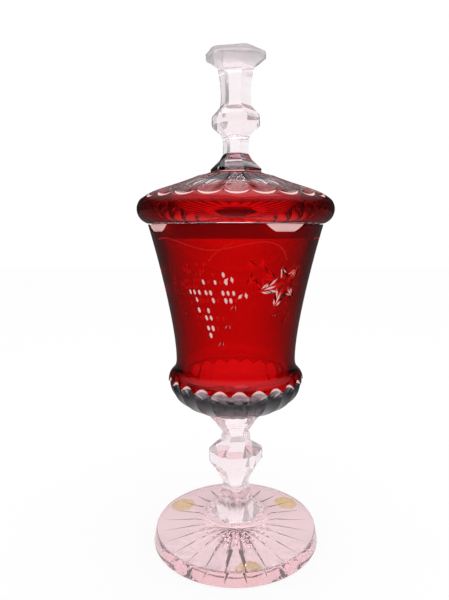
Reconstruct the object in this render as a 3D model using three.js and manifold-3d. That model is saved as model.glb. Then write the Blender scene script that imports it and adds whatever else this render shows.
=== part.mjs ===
// A lidded crystal goblet in ruby overlay glass, cut to clear, in millimetres with +Z up.
// It stands on three stick-on pads; the foot's axis is the Z axis and the pads' undersides are at z = 0.
// Clear and ruby glass are two layers, made here as two solids. The cover lifts straight up off the bowl.

import * as THREE from "three";
import { mergeVertices } from "three/addons/utils/BufferGeometryUtils.js";
import Module from "manifold-3d";

const wasm = await Module();
wasm.setup();

// Fits and mesh fineness
const JOIN_GAP = 0.3; // between two solids that are fused or stuck together
const ROUND_SIDES = 48;
const CURVE_STEPS = 4; // steps along each stretch of an outline
const PAST = 5; // how far a cutting tool runs past what it cuts

// Stick-on pads under the foot, set by hand and not quite evenly
const PAD_RADIUS = 9.5;
const PAD_THICKNESS = 0.6;
const PAD_CIRCLE = 52.5;
const PAD_SIDES = 20;
const PAD_TURNS = [10, 128, 236]; // degrees round from the front, to the right

// Foot, a thick disc with a star cut into its underside
const FOOT_RADIUS = 63.4;
const FOOT_RIM_HEIGHT = 10.3;
const FOOT_RIM_TAPER = 1.9; // how much narrower the foot is at the top of its rim
const FOOT_EDGE_ROUND = 0.9;
const FOOT_CROWN_HEIGHT = 19.1; // underside to the stem's seat
const FOOT_SEAT_RADIUS = 21.5;
const STAR_RAYS = 24;
const STAR_INNER_RADIUS = 4;
const STAR_OUTER_RADIUS = 58;
const STAR_GROOVE_WIDTH = 4.2;
const STAR_GROOVE_DEPTH = 1.7;

// Stem, six-sided, with a twelve-sided band round its knop
const STEM_SIDES = 6;
const BAND_SIDES = 12;
const STEM_TURN = 8; // degrees from the front to the middle of a flat
const STEM_SKIRT_RADIUS = 20.5;
const STEM_LEDGE_RADIUS = 12.9;
const STEM_LEDGE_HEIGHT = 14;
const STEM_NECK_RADIUS = 10;
const STEM_NECK_HEIGHT = 25;
const KNOP_FOOT_RADIUS = 12.6;
const KNOP_FOOT_HEIGHT = 29.5;
const KNOP_TIER_RADIUS = 16;
const KNOP_TIER_HEIGHT = 36;
const KNOP_RADIUS = 21;
const KNOP_BAND_LOW = 44;
const KNOP_BAND_HIGH = 51;
const KNOP_OVERSIZE = 1.05; // the six-sided slopes meet the band just past its corners
const STEM_RING_RADIUS = 11.3;
const STEM_RING_LOW = 56.8;
const STEM_RING_HIGH = 62;
const STEM_WAIST_RADIUS = 10;
const STEM_WAIST_HEIGHT = 65;
const STEM_TOP_RADIUS = 15;
const STEM_HEIGHT = 72.1;

// Collar between the stem and the bowl
const STEM_COLLAR_SHOULDER_RADIUS = 19.2;
const STEM_COLLAR_SHOULDER_HEIGHT = 4.1;
const STEM_COLLAR_RADIUS = 20.6;
const STEM_COLLAR_HEIGHT = 9;

// Bowl
const BOWL_HEIGHT = 139.8;
const BOWL_BASE_RADIUS = 21;
const BULGE_RADIUS = 50.3;
const BULGE_HEIGHT = 25.8;
const WAIST_RADIUS = 44.2;
const WAIST_HEIGHT = 41.9;
const LIP_RADIUS = 62.9;
const BOWL_WALL = 6.2;
const BOWL_FLOOR = 13;
const RUBY_THICKNESS = 0.6;

// Panels cut round the bottom of the bowl, through the ruby, each with a rounded top
const PANELS = 24;
const PANEL_TURN = 3; // degrees from the front to the middle of a panel
const PANEL_TOP = 30.6;
const PANEL_RIDGE_TOP = 26;
const PANEL_RUN_OUT = 4; // height over which a panel runs out to nothing
const PANEL_RIDGE_DEPTH = 1;
const PANEL_FLUTE_DEPTH = 1.4; // below the ridges

// Cuts through the ruby of the bowl
const WINDOWS = 4;
const WINDOW_TURN = 31;
const WINDOW_BOTTOM = 5; // below the lip, where a flat window runs out
const MOTIFS = 3; // bunches of grapes, with a vine leaf after each
const BUNCH_TURN = -17.5;
const BUNCH_TOP = 105.2;
const BUNCH_ROWS = [2, 3, 2, 1];
const GRAPE_RADIUS = 4.7;
const GRAPE_PITCH = 11.8;
const GRAPE_ROW_PITCH = 12;
const GRAPE_SIDES = 10;
const LEAF_TURN = 51; // degrees from a bunch to its leaf
const LEAF_HEIGHT = 99;
const LEAF_LOBES = [
  { turn: 180, length: 15, width: 7.6 },
  { turn: 112, length: 14, width: 7.2 },
  { turn: 248, length: 14, width: 7.2 },
  { turn: 40, length: 12, width: 6.4 },
  { turn: 320, length: 12, width: 6.4 },
];
const LEAF_HEART = 3.4; // from the middle of the leaf to where a lobe starts

// Cover
const COVER_OVERHANG = 7.6; // past the bowl's lip
const COVER_RADIUS = LIP_RADIUS + COVER_OVERHANG;
const COVER_ROLL_RADIUS = 10.3; // of the rolled edge
const COVER_ROLL_END = 45; // degrees up the rolled edge where the dome leaves it
const COVER_SHOULDER = 17.7; // how far the dome goes on straight from there
const COVER_DOME_TOP = 35.6;
const COVER_TOP_RADIUS = 21;
const COVER_CEILING = 28.5;
const FLANGE_DEPTH = 9;
const FLANGE_THICKNESS = 5.5;
const FLANGE_CLEARANCE = 1; // round the flange, inside the lip
const PETALS = 24;
const PETAL_TURN = 0.6;
const PETAL_INNER_RADIUS = 24;
const PETAL_RIDGE_END = 45; // degrees up the rolled edge where a ridge starts
const PETAL_FLUTE_END = 36; // and a flute
const PETAL_FLUTE_DEPTH = 2.4; // below the ridges

// Collar of the finial
const FINIAL_TURN = -11.5;
const FINIAL_COLLAR_RADIUS = 18.6;
const FINIAL_COLLAR_EDGE = 3.2;
const FINIAL_COLLAR_SHOULDER_RADIUS = 11.8;
const FINIAL_COLLAR_SHOULDER_HEIGHT = 9.4;
const FINIAL_COLLAR_HEIGHT = 13.4;

// Finial
const FINIAL_NECK_RADIUS = 9.3;
const FINIAL_KNOP_FOOT_RADIUS = 11.4;
const FINIAL_KNOP_FOOT_HEIGHT = 13.8;
const FINIAL_KNOP_RADIUS = 17.5;
const FINIAL_BAND_LOW = 19.3;
const FINIAL_BAND_HIGH = 24.8;
const FINIAL_KNOP_TOP_RADIUS = 11.8;
const FINIAL_KNOP_TOP_HEIGHT = 31.8;
const FINIAL_SHAFT_RADIUS = 10.2;
const FINIAL_SHAFT_HEIGHT = 46;
const BUTTON_FOOT_RADIUS = 13;
const BUTTON_FOOT_HEIGHT = 58.2;
const BUTTON_RADIUS = 21.5;
const BUTTON_EDGE_LOW = 64.1;
const BUTTON_EDGE_HIGH = 67.5;
const BUTTON_TABLE_RADIUS = 13.3;
const FINIAL_HEIGHT = 70;

// Levels, stacked from the table up
const FOOT_LEVEL = PAD_THICKNESS + JOIN_GAP;
const STEM_LEVEL = FOOT_LEVEL + FOOT_CROWN_HEIGHT + JOIN_GAP;
const STEM_COLLAR_LEVEL = STEM_LEVEL + STEM_HEIGHT + JOIN_GAP;
const BOWL_LEVEL = STEM_COLLAR_LEVEL + STEM_COLLAR_HEIGHT + JOIN_GAP;
const COVER_LEVEL = BOWL_LEVEL + BOWL_HEIGHT + JOIN_GAP;
const FINIAL_COLLAR_LEVEL = COVER_LEVEL + COVER_DOME_TOP + JOIN_GAP;
const FINIAL_LEVEL = FINIAL_COLLAR_LEVEL + FINIAL_COLLAR_HEIGHT + JOIN_GAP;

// Looks of the glass and the pads
const finish = (color, roughness) => new THREE.MeshStandardMaterial({ color, roughness, metalness: 0 });
const crystalGlass = () => finish(0xf3e9ee, 0.04);
const rubyGlass = () => finish(0xa30014, 0.05);
const padRubber = () => finish(0xe0a23c, 0.45);

const radians = THREE.MathUtils.degToRad;
const point = (radius, height) => new THREE.Vector2(radius, height);

// A closed geometry as a solid that can be cut and joined
function solidOf(geometry) {
  const bare = new THREE.BufferGeometry();
  bare.setAttribute("position", geometry.getAttribute("position"));
  if (geometry.index) bare.setIndex(geometry.index);
  const merged = mergeVertices(bare, 1e-4);
  const triVerts = new Uint32Array(merged.index.array);
  const vertProperties = merged.attributes.position.array;
  return new wasm.Manifold(new wasm.Mesh({ numProp: 3, vertProperties, triVerts }));
}

function geometryOf(solid) {
  const mesh = solid.getMesh();
  const geometry = new THREE.BufferGeometry();
  geometry.setAttribute("position", new THREE.BufferAttribute(mesh.vertProperties, 3));
  geometry.setIndex(new THREE.BufferAttribute(mesh.triVerts, 1));
  geometry.computeVertexNormals();
  return geometry;
}

function piece(name, solid, material, level = 0) {
  const mesh = new THREE.Mesh(geometryOf(solid), material);
  mesh.name = name;
  mesh.position.z = level;
  return mesh;
}

// Degrees round from the front, to the right, as a turn about Z from the +X axis
const azimuth = (degrees) => radians(degrees - 90);

// A profile of (radius, height) points turned about Z, with a corner of the outline at the given azimuth
function turned(profile, sides, cornerTurn = 0) {
  const geometry = new THREE.LatheGeometry(profile, sides);
  geometry.rotateX(Math.PI / 2);
  geometry.rotateZ(Math.PI / 2 + azimuth(cornerTurn));
  return solidOf(geometry);
}

// A turned body with flutes round it: one outline on the ridges, and one with as many points in the flutes
function fluted(ridge, count, turn, flute) {
  const geometry = new THREE.LatheGeometry(ridge, count * 2);
  const position = geometry.getAttribute("position");
  for (let i = 0; i < position.count; i++) {
    const column = Math.floor(i / ridge.length);
    const row = i % ridge.length;
    if (column % 2 === 0) continue;
    const share = ridge[row].x ? flute[row].x / ridge[row].x : 0;
    position.setXYZ(i, position.getX(i) * share, flute[row].y, position.getZ(i) * share);
  }
  geometry.rotateX(Math.PI / 2);
  geometry.rotateZ(Math.PI / 2 + azimuth(turn + 180 / count));
  return solidOf(geometry);
}

// A six-sided body with the band cut round its knops
function faceted(profile, band, flatTurn) {
  const slopes = turned(profile, STEM_SIDES, flatTurn + 180 / STEM_SIDES);
  return slopes.intersect(turned(band, BAND_SIDES, flatTurn + 180 / BAND_SIDES));
}

// The points of several curves end to end, without doubled points
function along(curves, steps = CURVE_STEPS) {
  return curves.flatMap((curve, i) => curve.getPoints(steps).slice(i ? 1 : 0));
}

function rounded(cornerX, cornerY, radius, from, to) {
  const arc = new THREE.EllipseCurve(cornerX, cornerY, radius, radius, radians(from), radians(to));
  return arc.getPoints(3);
}

// Puts a tool made round the origin on a wall: +Z outwards, +Y up the wall
function onWall(geometry, turn, radius, height, lean = 0) {
  geometry.rotateX(Math.PI / 2);
  geometry.rotateZ(Math.PI);
  geometry.rotateX(radians(-lean));
  geometry.translate(0, -radius, height);
  geometry.rotateZ(radians(turn));
  return geometry;
}

function footPad(turn) {
  const disc = new THREE.CylinderGeometry(PAD_RADIUS, PAD_RADIUS, PAD_THICKNESS, PAD_SIDES);
  disc.rotateX(Math.PI / 2);
  disc.translate(PAD_CIRCLE, 0, PAD_THICKNESS / 2);
  disc.rotateZ(azimuth(turn));
  return solidOf(disc);
}

function foot() {
  const round = FOOT_EDGE_ROUND;
  const shoulder = FOOT_RADIUS - FOOT_RIM_TAPER - round;
  const crown = new THREE.CubicBezierCurve(
    point(shoulder, FOOT_RIM_HEIGHT),
    point(FOOT_SEAT_RADIUS * 1.9, FOOT_RIM_HEIGHT + 2),
    point(FOOT_SEAT_RADIUS * 1.3, FOOT_RIM_HEIGHT + 3),
    point(FOOT_SEAT_RADIUS, FOOT_CROWN_HEIGHT),
  );
  const disc = turned(
    [
      point(0, 0),
      ...rounded(FOOT_RADIUS - round, round, round, -90, 0),
      ...rounded(shoulder, FOOT_RIM_HEIGHT - round, round, 0, 90),
      ...along([crown]).slice(1),
      point(0, FOOT_CROWN_HEIGHT),
    ],
    ROUND_SIDES,
  );
  const rays = [];
  for (let i = 0; i < STAR_RAYS; i++) {
    const groove = new THREE.OctahedronGeometry(1);
    const length = STAR_OUTER_RADIUS - STAR_INNER_RADIUS;
    groove.scale(length / 2, STAR_GROOVE_WIDTH / 2, STAR_GROOVE_DEPTH);
    groove.translate((STAR_OUTER_RADIUS + STAR_INNER_RADIUS) / 2, 0, 0);
    groove.rotateZ(azimuth((360 / STAR_RAYS) * (i + 0.5)));
    rays.push(solidOf(groove));
  }
  return disc.subtract(wasm.Manifold.union(rays));
}

function stem() {
  const slope = KNOP_RADIUS * KNOP_OVERSIZE;
  const skirt = new THREE.QuadraticBezierCurve(
    point(STEM_SKIRT_RADIUS, 0),
    point(STEM_LEDGE_RADIUS + 0.6, STEM_LEDGE_HEIGHT / 3),
    point(STEM_LEDGE_RADIUS, STEM_LEDGE_HEIGHT),
  );
  const neck = new THREE.QuadraticBezierCurve(
    point(STEM_LEDGE_RADIUS, STEM_LEDGE_HEIGHT),
    point(STEM_NECK_RADIUS, STEM_LEDGE_HEIGHT + (STEM_NECK_HEIGHT - STEM_LEDGE_HEIGHT) / 3),
    point(STEM_NECK_RADIUS, STEM_NECK_HEIGHT),
  );
  const profile = [
    point(0, 0),
    ...along([skirt, neck], 4),
    point(KNOP_FOOT_RADIUS, KNOP_FOOT_HEIGHT),
    point(KNOP_TIER_RADIUS, KNOP_TIER_HEIGHT),
    point(slope, KNOP_BAND_LOW),
    point(slope, KNOP_BAND_HIGH),
    point(STEM_RING_RADIUS, STEM_RING_LOW),
    point(STEM_RING_RADIUS, STEM_RING_HIGH),
    point(STEM_WAIST_RADIUS, STEM_WAIST_HEIGHT),
    point(STEM_TOP_RADIUS, STEM_HEIGHT),
    point(0, STEM_HEIGHT),
  ];
  const reach = Math.max(KNOP_RADIUS, STEM_SKIRT_RADIUS + PAST);
  const band = [
    point(0, -PAST),
    point(reach, -PAST),
    point(reach, STEM_LEDGE_HEIGHT),
    point(KNOP_RADIUS, KNOP_FOOT_HEIGHT),
    point(KNOP_RADIUS, STEM_HEIGHT + PAST),
    point(0, STEM_HEIGHT + PAST),
  ];
  return faceted(profile, band, STEM_TURN);
}

function stemCollar() {
  const profile = [
    point(0, 0),
    point(STEM_TOP_RADIUS, 0),
    point(STEM_COLLAR_SHOULDER_RADIUS, STEM_COLLAR_SHOULDER_HEIGHT),
    point(STEM_COLLAR_RADIUS, STEM_COLLAR_HEIGHT),
    point(0, STEM_COLLAR_HEIGHT),
  ];
  return turned(profile, STEM_SIDES, STEM_TURN + 180 / STEM_SIDES);
}

// The bowl's wall from base to lip, drawn in by a distance
function bowlWall(inset) {
  const base = BOWL_BASE_RADIUS - inset;
  const bulge = BULGE_RADIUS - inset;
  const waist = WAIST_RADIUS - inset;
  const lip = LIP_RADIUS - inset;
  const shoulder = WAIST_HEIGHT - BULGE_HEIGHT;
  const flare = BOWL_HEIGHT - WAIST_HEIGHT;
  return [
    new THREE.CubicBezierCurve(
      point(base, 0),
      point(base + (bulge - base) * 0.52, BULGE_HEIGHT * 0.2),
      point(bulge, BULGE_HEIGHT * 0.45),
      point(bulge, BULGE_HEIGHT),
    ),
    new THREE.CubicBezierCurve(
      point(bulge, BULGE_HEIGHT),
      point(bulge, BULGE_HEIGHT + shoulder * 0.54),
      point(waist, BULGE_HEIGHT + shoulder * 0.34),
      point(waist, WAIST_HEIGHT),
    ),
    new THREE.CubicBezierCurve(
      point(waist, WAIST_HEIGHT),
      point(waist, WAIST_HEIGHT + flare * 0.24),
      point(waist + (lip - waist) * 0.63, WAIST_HEIGHT + flare * 0.75),
      point(lip, BOWL_HEIGHT),
    ),
  ];
}

const bowlOutline = along(bowlWall(0), 24);

// The bowl's outer radius at a height
function bowlRadiusAt(height) {
  const i = bowlOutline.findIndex((p) => p.y >= height);
  if (i < 1) return i ? LIP_RADIUS : BOWL_BASE_RADIUS;
  const [low, high] = [bowlOutline[i - 1], bowlOutline[i]];
  return THREE.MathUtils.mapLinear(height, low.y, high.y, low.x, high.x);
}

// The inside of the bowl, from the middle of its floor to its lip
function bowlHollow() {
  const [, shoulder, flare] = bowlWall(BOWL_WALL);
  const floor = new THREE.CubicBezierCurve(
    point(0, BOWL_FLOOR),
    point((BULGE_RADIUS - BOWL_WALL) * 0.7, BOWL_FLOOR),
    point(BULGE_RADIUS - BOWL_WALL, BOWL_FLOOR + (BULGE_HEIGHT - BOWL_FLOOR) * 0.4),
    point(BULGE_RADIUS - BOWL_WALL, BULGE_HEIGHT),
  );
  return along([floor, shoulder, flare]);
}

// The outline that the panel cuts leave along a ridge or along a flute, wide open above
function panelOutline(depth, top) {
  const [bottom] = bowlWall(depth);
  const stop = top - PANEL_RUN_OUT;
  const clear = LIP_RADIUS + PAST * 2;
  return [
    point(0, -PAST),
    point(bottom.v0.x, -PAST),
    ...bottom.getPoints(6).slice(0, -1),
    point(bowlRadiusAt(stop) - depth, stop),
    point(bowlRadiusAt(top) + 0.3, top),
    point(clear, top + PANEL_RUN_OUT),
    point(clear, BOWL_HEIGHT + PAST),
    point(0, BOWL_HEIGHT + PAST),
  ];
}

function panelEnvelope() {
  const ridge = panelOutline(PANEL_RIDGE_DEPTH, PANEL_RIDGE_TOP);
  const flute = panelOutline(PANEL_RIDGE_DEPTH + PANEL_FLUTE_DEPTH, PANEL_TOP);
  return fluted(ridge, PANELS, PANEL_TURN, flute);
}

// Four flat windows at the lip
function windowCuts() {
  const cuts = [];
  const flat = bowlRadiusAt(BOWL_HEIGHT - WINDOW_BOTTOM);
  const size = LIP_RADIUS;
  for (let i = 0; i < WINDOWS; i++) {
    const block = new THREE.BoxGeometry(size, size, size);
    block.translate(0, -flat - size / 2, BOWL_HEIGHT);
    block.rotateZ(radians(WINDOW_TURN + (360 / WINDOWS) * i));
    cuts.push(solidOf(block));
  }
  return wasm.Manifold.union(cuts);
}

function bunchCuts(turn) {
  const cuts = [];
  BUNCH_ROWS.forEach((count, row) => {
    const height = BUNCH_TOP - row * GRAPE_ROW_PITCH;
    const radius = bowlRadiusAt(height);
    for (let i = 0; i < count; i++) {
      const across = (i - (count - 1) / 2) * GRAPE_PITCH;
      const depth = RUBY_THICKNESS * 4;
      const grape = new THREE.CylinderGeometry(GRAPE_RADIUS, GRAPE_RADIUS, depth, GRAPE_SIDES);
      grape.rotateX(Math.PI / 2);
      const degrees = turn + THREE.MathUtils.radToDeg(across / radius);
      cuts.push(solidOf(onWall(grape, degrees, radius, height)));
    }
  });
  return cuts;
}

// One lobe of a leaf, pointed at both ends, growing along +Y
function lobe({ length, width }) {
  const outline = new THREE.Shape();
  outline.moveTo(0, 0);
  outline.quadraticCurveTo(width, length / 2, 0, length);
  outline.quadraticCurveTo(-width, length / 2, 0, 0);
  const depth = RUBY_THICKNESS * 6;
  const geometry = new THREE.ExtrudeGeometry(outline, { depth, bevelEnabled: false, curveSegments: 4 });
  return geometry.translate(0, LEAF_HEART, -depth / 2);
}

function leafCuts(turn) {
  const radius = bowlRadiusAt(LEAF_HEIGHT);
  return LEAF_LOBES.map((shape) => {
    const geometry = lobe(shape).rotateZ(radians(shape.turn));
    return solidOf(onWall(geometry, turn, radius, LEAF_HEIGHT));
  });
}

function vineCuts() {
  const cuts = [];
  for (let i = 0; i < MOTIFS; i++) {
    const turn = BUNCH_TURN + (360 / MOTIFS) * i;
    cuts.push(...bunchCuts(turn), ...leafCuts(turn + LEAF_TURN));
  }
  return wasm.Manifold.union(cuts);
}

function bowlCrystal() {
  const outside = along(bowlWall(RUBY_THICKNESS + JOIN_GAP));
  const inside = bowlHollow().reverse();
  const body = turned([point(0, 0), ...outside, ...inside], ROUND_SIDES);
  return body.intersect(panelEnvelope()).subtract(windowCuts());
}

function bowlRuby() {
  const covered = (p) => p.y > PANEL_RIDGE_TOP / 2;
  const outside = along(bowlWall(0)).filter(covered);
  const inside = along(bowlWall(RUBY_THICKNESS)).filter(covered).reverse();
  const layer = turned([...outside, ...inside, outside[0].clone()], ROUND_SIDES);
  return layer.intersect(panelEnvelope()).subtract(windowCuts()).subtract(vineCuts());
}

// A point of the rolled edge, drawn in by a distance
function onRoll(degrees, inset = 0) {
  const turn = radians(degrees);
  const roll = COVER_ROLL_RADIUS - inset;
  const middle = COVER_RADIUS - COVER_ROLL_RADIUS;
  return point(middle + roll * Math.cos(turn), COVER_ROLL_RADIUS + roll * Math.sin(turn));
}

// The cover's outside from under its rolled edge to the middle of the dome, drawn in by a distance
function coverSkin(inset) {
  const middle = COVER_RADIUS - COVER_ROLL_RADIUS;
  const roll = COVER_ROLL_RADIUS - inset;
  const end = radians(COVER_ROLL_END);
  const edge = new THREE.EllipseCurve(middle, COVER_ROLL_RADIUS, roll, roll, -Math.PI / 2, end);
  const leave = onRoll(COVER_ROLL_END, inset);
  const inwards = point(-Math.sin(end), Math.cos(end)).multiplyScalar(COVER_SHOULDER);
  const top = point(COVER_TOP_RADIUS, COVER_DOME_TOP - inset);
  const dome = new THREE.QuadraticBezierCurve(leave, leave.clone().add(inwards), top);
  return { edge, dome };
}

// The outline that the petal cuts leave along a ridge or along a flute, wide open below and outside
function petalOutline(start, depth) {
  const petal = new THREE.CubicBezierCurve(
    onRoll(start),
    point(COVER_RADIUS * 0.85, COVER_DOME_TOP * 0.68 - depth),
    point(COVER_RADIUS * 0.68, COVER_DOME_TOP * 0.7 - depth),
    point(PETAL_INNER_RADIUS, COVER_DOME_TOP - 0.2 - depth * 0.4),
  );
  return [
    point(0, -FLANGE_DEPTH - PAST),
    point(COVER_RADIUS + PAST, -FLANGE_DEPTH - PAST),
    point(COVER_RADIUS + PAST, COVER_ROLL_RADIUS),
    onRoll(start - 6, -1),
    ...petal.getPoints(6).slice(1),
    point(PETAL_INNER_RADIUS - 1, COVER_DOME_TOP + PAST),
    point(0, COVER_DOME_TOP + PAST),
  ];
}

function petalEnvelope() {
  const ridge = petalOutline(PETAL_RIDGE_END, 0);
  const flute = petalOutline(PETAL_FLUTE_END, PETAL_FLUTE_DEPTH);
  return fluted(ridge, PETALS, PETAL_TURN, flute);
}

function coverCrystal() {
  const { edge, dome } = coverSkin(RUBY_THICKNESS + JOIN_GAP);
  const flangeOutside = LIP_RADIUS - BOWL_WALL - FLANGE_CLEARANCE;
  const flangeTip = bowlRadiusAt(BOWL_HEIGHT - FLANGE_DEPTH) - BOWL_WALL - FLANGE_CLEARANCE;
  const flangeInside = flangeTip - FLANGE_THICKNESS;
  const ceiling = new THREE.CubicBezierCurve(
    point(flangeInside, 0),
    point(flangeInside, COVER_CEILING * 0.75),
    point(flangeInside * 0.76, COVER_CEILING),
    point(0, COVER_CEILING),
  );
  const outside = along([edge, dome], 5).filter((p) => p.y > 0 || p.x > flangeOutside);
  const profile = [
    point(flangeInside, -FLANGE_DEPTH),
    point(flangeTip, -FLANGE_DEPTH),
    point(flangeOutside, 0),
    point(COVER_RADIUS - COVER_ROLL_RADIUS, 0),
    ...outside,
    point(COVER_TOP_RADIUS, COVER_DOME_TOP),
    point(0, COVER_DOME_TOP),
    ...along([ceiling], 5).reverse(),
  ];
  profile.push(profile[0].clone());
  return turned(profile, ROUND_SIDES).intersect(petalEnvelope());
}

function coverRuby() {
  const outer = coverSkin(0);
  const inner = coverSkin(RUBY_THICKNESS);
  const reach = 0.3; // share of the dome that the ruby covers before it is cut
  const start = 0.12; // share of the rolled edge left bare underneath, where it rests on the lip
  const stretch = (curve, from, to, steps) =>
    Array.from({ length: steps + 1 }, (_, i) => curve.getPoint(from + ((to - from) * i) / steps));
  const layer = ({ edge, dome }) => [...stretch(edge, start, 1, 7), ...stretch(dome, 0, reach, 2).slice(1)];
  const outside = layer(outer);
  const band = turned([...outside, ...layer(inner).reverse(), outside[0].clone()], ROUND_SIDES);
  return band.intersect(petalEnvelope());
}

function finialCollar() {
  const profile = [
    point(0, 0),
    point(FINIAL_COLLAR_RADIUS, 0),
    point(FINIAL_COLLAR_RADIUS, FINIAL_COLLAR_EDGE),
    point(FINIAL_COLLAR_SHOULDER_RADIUS, FINIAL_COLLAR_SHOULDER_HEIGHT),
    point(FINIAL_NECK_RADIUS, FINIAL_COLLAR_HEIGHT),
    point(0, FINIAL_COLLAR_HEIGHT),
  ];
  return turned(profile, STEM_SIDES, FINIAL_TURN + 180 / STEM_SIDES);
}

function finial() {
  const slope = FINIAL_KNOP_RADIUS * KNOP_OVERSIZE;
  const shaft = new THREE.CubicBezierCurve(
    point(FINIAL_KNOP_TOP_RADIUS, FINIAL_KNOP_TOP_HEIGHT),
    point(FINIAL_SHAFT_RADIUS, FINIAL_KNOP_TOP_HEIGHT + 3),
    point(FINIAL_SHAFT_RADIUS, FINIAL_SHAFT_HEIGHT),
    point(BUTTON_FOOT_RADIUS, BUTTON_FOOT_HEIGHT),
  );
  const under = new THREE.QuadraticBezierCurve(
    point(BUTTON_FOOT_RADIUS, BUTTON_FOOT_HEIGHT),
    point(BUTTON_FOOT_RADIUS + 3, BUTTON_EDGE_LOW - 2.5),
    point(BUTTON_RADIUS * KNOP_OVERSIZE, BUTTON_EDGE_LOW),
  );
  const profile = [
    point(0, 0),
    point(FINIAL_NECK_RADIUS, 0),
    point(FINIAL_NECK_RADIUS, FINIAL_KNOP_FOOT_HEIGHT * 0.7),
    point(FINIAL_KNOP_FOOT_RADIUS, FINIAL_KNOP_FOOT_HEIGHT),
    point(slope, FINIAL_BAND_LOW),
    point(slope, FINIAL_BAND_HIGH),
    ...along([shaft, under], 5),
    point(BUTTON_RADIUS * KNOP_OVERSIZE, BUTTON_EDGE_HIGH),
    point(BUTTON_TABLE_RADIUS, FINIAL_HEIGHT),
    point(0, FINIAL_HEIGHT),
  ];
  const band = [
    point(0, -PAST),
    point(FINIAL_KNOP_RADIUS, -PAST),
    point(FINIAL_KNOP_RADIUS, FINIAL_SHAFT_HEIGHT),
    point(BUTTON_RADIUS, BUTTON_FOOT_HEIGHT),
    point(BUTTON_RADIUS, FINIAL_HEIGHT + PAST),
    point(0, FINIAL_HEIGHT + PAST),
  ];
  return faceted(profile, band, FINIAL_TURN);
}

function goblet() {
  const group = new THREE.Group();
  group.name = "goblet";
  PAD_TURNS.forEach((turn, i) => group.add(piece(`foot_pad_${i + 1}`, footPad(turn), padRubber())));
  group.add(
    piece("foot", foot(), crystalGlass(), FOOT_LEVEL),
    piece("stem", stem(), crystalGlass(), STEM_LEVEL),
    piece("stem_collar", stemCollar(), crystalGlass(), STEM_COLLAR_LEVEL),
    piece("bowl_crystal", bowlCrystal(), crystalGlass(), BOWL_LEVEL),
    piece("bowl_ruby", bowlRuby(), rubyGlass(), BOWL_LEVEL),
  );
  return group;
}

function cover() {
  const group = new THREE.Group();
  group.name = "cover";
  group.add(
    piece("cover_crystal", coverCrystal(), crystalGlass(), COVER_LEVEL),
    piece("cover_ruby", coverRuby(), rubyGlass(), COVER_LEVEL),
    piece("finial_collar", finialCollar(), crystalGlass(), FINIAL_COLLAR_LEVEL),
    piece("finial", finial(), crystalGlass(), FINIAL_LEVEL),
  );
  return group;
}

const lidded = new THREE.Group();
lidded.name = "lidded_crystal_cup";
lidded.add(goblet(), cover());

export default lidded;
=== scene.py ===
"""A lidded goblet in ruby overlay glass, cut to clear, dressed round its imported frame.

It is laid out as a Blender add-on and run as a script. Sizes inside the functions are in
millimetres, and become metres where a mesh is made. +Z is up and -Y is the front.
"""

import math
import random

import bpy
import numpy as np
from bpy.props import FloatProperty, FloatVectorProperty, PointerProperty
from mathutils import Matrix, Vector


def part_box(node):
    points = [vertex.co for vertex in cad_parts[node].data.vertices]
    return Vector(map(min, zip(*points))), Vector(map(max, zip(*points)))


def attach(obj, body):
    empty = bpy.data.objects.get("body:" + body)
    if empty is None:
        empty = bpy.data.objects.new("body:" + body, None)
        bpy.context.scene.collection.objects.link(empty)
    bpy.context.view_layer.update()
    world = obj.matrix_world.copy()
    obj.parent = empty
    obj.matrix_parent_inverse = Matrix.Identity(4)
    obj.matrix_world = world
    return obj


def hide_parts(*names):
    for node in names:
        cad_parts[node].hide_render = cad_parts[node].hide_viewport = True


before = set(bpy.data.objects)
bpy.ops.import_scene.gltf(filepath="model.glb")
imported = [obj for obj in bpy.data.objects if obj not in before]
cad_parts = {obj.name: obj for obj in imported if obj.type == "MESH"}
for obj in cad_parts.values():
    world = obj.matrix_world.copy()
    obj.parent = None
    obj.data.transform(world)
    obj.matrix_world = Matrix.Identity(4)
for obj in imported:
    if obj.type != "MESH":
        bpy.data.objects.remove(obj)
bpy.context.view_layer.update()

bl_info = {
    "name": "Lidded Ruby Goblet",
    "version": (1, 0, 0),
    "blender": (4, 5, 0),
    "location": "View3D > Sidebar > Goblet",
    "description": "Builds a covered goblet in ruby overlay glass, cut to clear",
    "category": "Mesh",
}

MM = 0.001
PAST = 5  # how far a tool reaches past what it cuts
BOND = 0.02  # between two glasses that are fused
SEAT_GAP = 0.3  # between the bowl's lip and the cover that rests on it
SEED = 7  # of the chances in the decoration
ROUND_SIDES = 192
CURVE_STEPS = 16  # points along one stretch of an outline
FLUTE_STEPS = 12  # faces across one flute
SHARP = 24  # degrees between faces, from which an edge is sharp
SAME = 0.01  # millimetres within which two places are the same

# Marks on the faces while a piece is cut. A facet is a broad flat, ground in the crystal only.
BASE, POLISHED, GROUND, FACET = range(4)


def low(node):
    """The level of a node's underside."""
    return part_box(node)[0][2] / MM


def high(node):
    """The level of a node's top."""
    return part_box(node)[1][2] / MM


# Levels of the pieces above the table, read from the frame
FOOT_LEVEL = low("foot")
STEM_LEVEL = low("stem")
STEM_COLLAR_LEVEL = low("stem_collar")
BOWL_LEVEL = low("bowl_crystal")
LIP_LEVEL = high("bowl_crystal")
COVER_LEVEL = LIP_LEVEL + SEAT_GAP
FINIAL_COLLAR_LEVEL = low("finial_collar")
FINIAL_LEVEL = low("finial")
BOWL_HEIGHT = LIP_LEVEL - BOWL_LEVEL


# Sizes and colours that a user would change


def length(name, description, millimetres):
    return FloatProperty(
        name=name, description=description, default=millimetres * MM, unit="LENGTH", precision=4
    )


def linear(hexadecimal):
    """An sRGB colour such as #A30014 as linear red, green and blue."""
    shares = [int(hexadecimal[i : i + 2], 16) / 255 for i in (1, 3, 5)]
    return tuple(s / 12.92 if s <= 0.04045 else ((s + 0.055) / 1.055) ** 2.4 for s in shares)


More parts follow.
